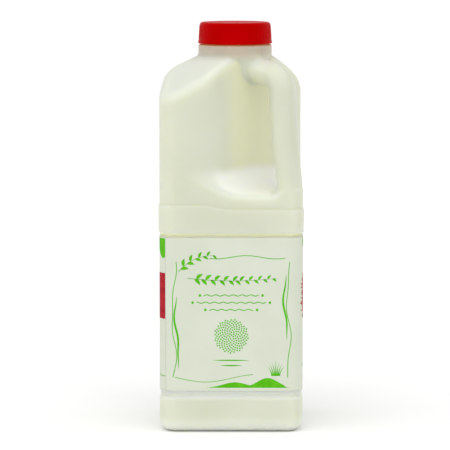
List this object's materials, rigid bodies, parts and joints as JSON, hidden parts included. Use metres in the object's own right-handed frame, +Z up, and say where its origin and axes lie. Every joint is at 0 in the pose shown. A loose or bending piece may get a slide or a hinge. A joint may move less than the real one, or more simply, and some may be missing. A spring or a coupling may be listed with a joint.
{
  "type": "milk bottle",
  "caption": "Square plastic milk bottle with a grip handle at one corner, a red screw cap and a printed wrap-around label.",
  "frame": {"origin": "on the floor under the middle of the square body", "axes": "+Z up; the front face looks along -Y; +X to the right seen from the front; the handle stands at the corner between +X and -Y"},
  "size_m": [0.08, 0.08, 0.2247],
  "materials": {
    "bottle_plastic": "translucent natural polyethylene over milk, satin, slightly greenish ivory",
    "cap_plastic": "moulded red plastic, soft gloss",
    "label_film": "milky printed film with plain green and red shapes, satin"
  },
  "bodies": {
    "root": {"bottle": "bottle_plastic", "cap": "cap_plastic", "label": "label_film"}
  },
  "joints": []
}
